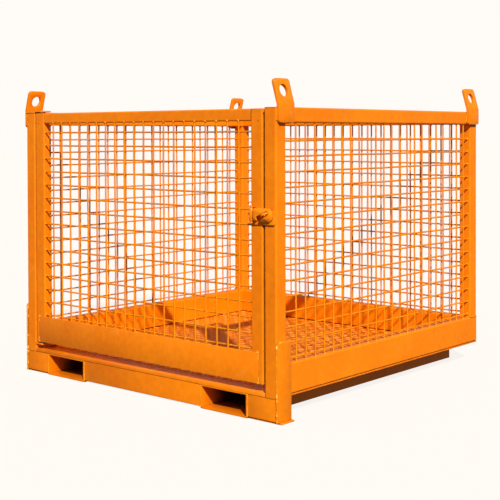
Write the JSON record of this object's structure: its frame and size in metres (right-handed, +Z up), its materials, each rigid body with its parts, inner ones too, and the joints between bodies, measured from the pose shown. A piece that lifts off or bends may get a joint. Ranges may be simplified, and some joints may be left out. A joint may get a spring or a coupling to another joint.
{
  "type": "mesh transport cage",
  "caption": "Open-topped welded steel mesh cage with a side-hung mesh door, hasp latch, through fork pockets, chequer plate floor and corner lifting lugs.",
  "frame": {"origin": "centre of the bounding box on the ground", "axes": "+Z up, -Y towards the door side, +X towards the latch side as seen from the front"},
  "size_m": [1.302, 1.28, 1.097],
  "materials": {
    "frame_paint": "semi-gloss orange enamel over welded steel tube",
    "door_paint": "semi-gloss orange enamel over welded steel tube",
    "mesh_paint": "semi-gloss orange enamel over welded wire",
    "floor_paint": "semi-gloss orange enamel over chequer plate",
    "lug_paint": "semi-gloss orange enamel over flat bar",
    "latch_paint": "semi-gloss orange enamel over forged steel",
    "pivot_steel": "turned steel, greased"
  },
  "bodies": {
    "cage": {"bottom_pivot_pin": "pivot_steel", "bottom_pivot_plate": "frame_paint", "door_guide_pad": "frame_paint", "floor_plate": "floor_paint", "front_cross_left": "frame_paint", "front_cross_middle": "frame_paint", "front_cross_right": "frame_paint", "front_floor_bearer": "frame_paint", "front_left_lug": "lug_paint", "front_left_post": "frame_paint", "front_right_lug": "lug_paint", "front_right_post": "frame_paint", "front_right_post_cap": "frame_paint", "front_sill": "frame_paint", "latch_staple": "latch_paint", "left_beam_cap": "frame_paint", "left_corner_doubler": "frame_paint", "left_foot_plate": "frame_paint", "left_fork_tube": "frame_paint", "left_mesh": "mesh_paint", "left_side_beam": "frame_paint", "left_top_rail": "frame_paint", "lower_door_stop": "frame_paint", "rear_beam": "frame_paint", "rear_cross_middle": "frame_paint", "rear_floor_bearer": "frame_paint", "rear_left_lug": "lug_paint", "rear_left_post": "frame_paint", "rear_left_post_cap": "frame_paint", "rear_mesh": "mesh_paint", "rear_right_lug": "lug_paint", "rear_right_post": "frame_paint", "rear_right_post_cap": "frame_paint", "rear_top_rail": "frame_paint", "right_beam_cap": "frame_paint", "right_corner_doubler": "frame_paint", "right_foot_plate": "frame_paint", "right_fork_tube": "frame_paint", "right_mesh": "mesh_paint", "right_side_beam": "frame_paint", "right_top_rail": "frame_paint", "staple_plate": "latch_paint", "top_pivot_pin": "pivot_steel", "top_pivot_plate": "frame_paint", "upper_door_stop": "frame_paint"},
    "door": {"hinge_stile": "door_paint", "latch_stile": "door_paint", "door_top_rail": "door_paint", "door_kick_plate": "door_paint", "door_bottom_rail": "door_paint", "door_mesh": "mesh_paint", "top_pivot_bush": "pivot_steel", "bottom_pivot_bush": "pivot_steel", "hasp_bracket": "latch_paint", "hasp_pin": "pivot_steel"},
    "hasp": {"hasp_leaf": "latch_paint"}
  },
  "joints": [
    {"name": "door_swing", "type": "hinge", "parent": "cage", "child": "door", "pos_m": [-0.5565, -0.595, 0.5605], "axis": [0, 0, 1], "range_deg": [-115, 0]},
    {"name": "hasp_swing", "type": "hinge", "parent": "door", "child": "hasp", "pos_m": [0.539, -0.62, 0.662], "axis": [0, 0, 1], "range_deg": [-170, 0]}
  ]
}
